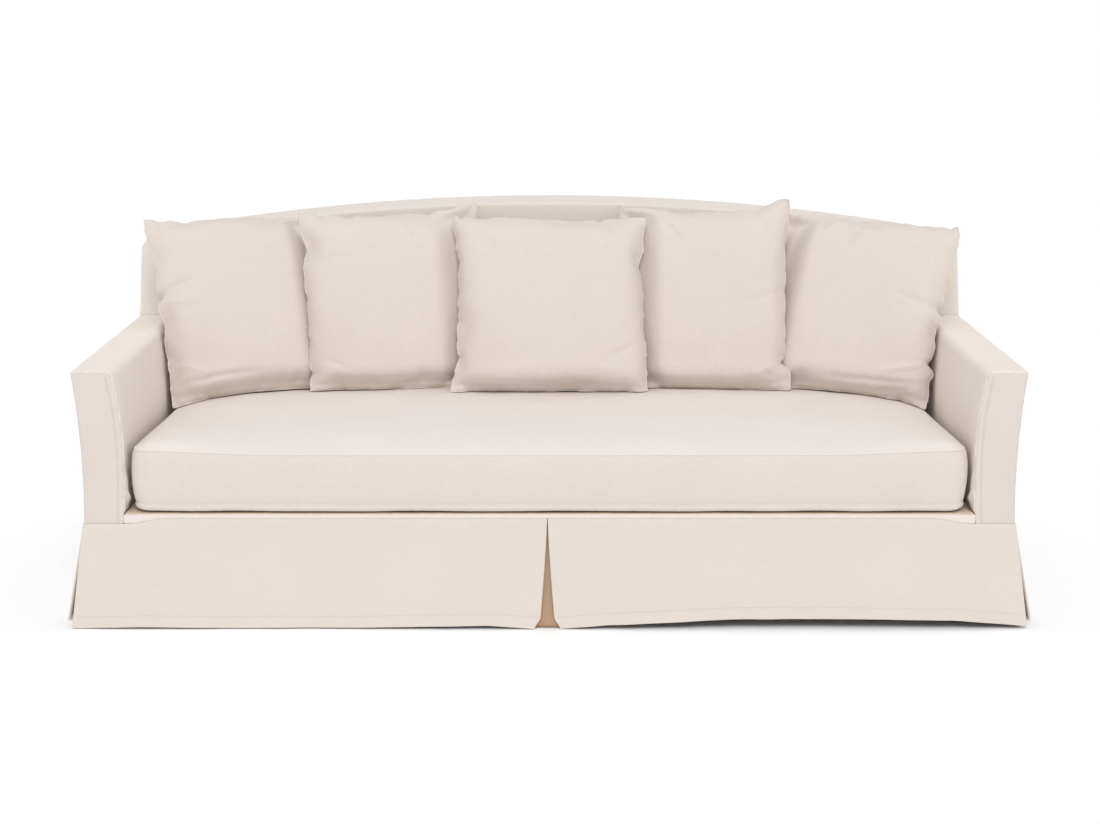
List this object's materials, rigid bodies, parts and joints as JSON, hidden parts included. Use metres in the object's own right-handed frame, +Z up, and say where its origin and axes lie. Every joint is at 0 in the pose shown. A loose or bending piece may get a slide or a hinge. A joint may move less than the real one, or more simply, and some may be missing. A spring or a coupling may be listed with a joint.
{
  "type": "sofa slipcover",
  "caption": "Skirted slipcover set for a long crowned-back sofa: hollow fitted cover with kick pleats, boxed bench seat cushion and knife-edge scatter pillows.",
  "frame": {"origin": "on the floor, under the middle of the whole set's box", "axes": "+X along the sofa, to the right as seen from the front; +Y from the front to the back; +Z up"},
  "size_m": [2.393, 1.0112, 0.9597],
  "materials": {
    "cover": "plain-woven ecru linen and cotton, washed, matt",
    "skirt": "plain-woven ecru linen and cotton, pressed, matt",
    "underlay": "plain-woven ecru linen and cotton, matt",
    "cushion": "plain-woven ecru linen and cotton, matt",
    "pillow": "plain-woven ecru linen and cotton, matt"
  },
  "bodies": {
    "root": {"back_outside": "cover", "back_boxing": "cover", "back_boxing_left": "cover", "back_boxing_right": "cover", "back_side_left": "cover", "back_side_right": "cover", "back_inside": "cover", "arm_left_inside": "cover", "arm_left_outside": "cover", "arm_left_front": "cover", "arm_right_inside": "cover", "arm_right_outside": "cover", "arm_right_front": "cover", "seat_deck": "cover", "front_rail": "cover", "skirt_front_left": "skirt", "skirt_front_right": "skirt", "skirt_left": "skirt", "skirt_right": "skirt", "skirt_back": "skirt", "pleat_centre": "underlay", "pleat_front_left": "underlay", "pleat_front_right": "underlay", "pleat_back_left": "underlay", "pleat_back_right": "underlay", "seat_cushion": "cushion", "pillow_1": "pillow", "pillow_2": "pillow", "pillow_3": "pillow", "pillow_4": "pillow", "pillow_5": "pillow"}
  },
  "joints": []
}
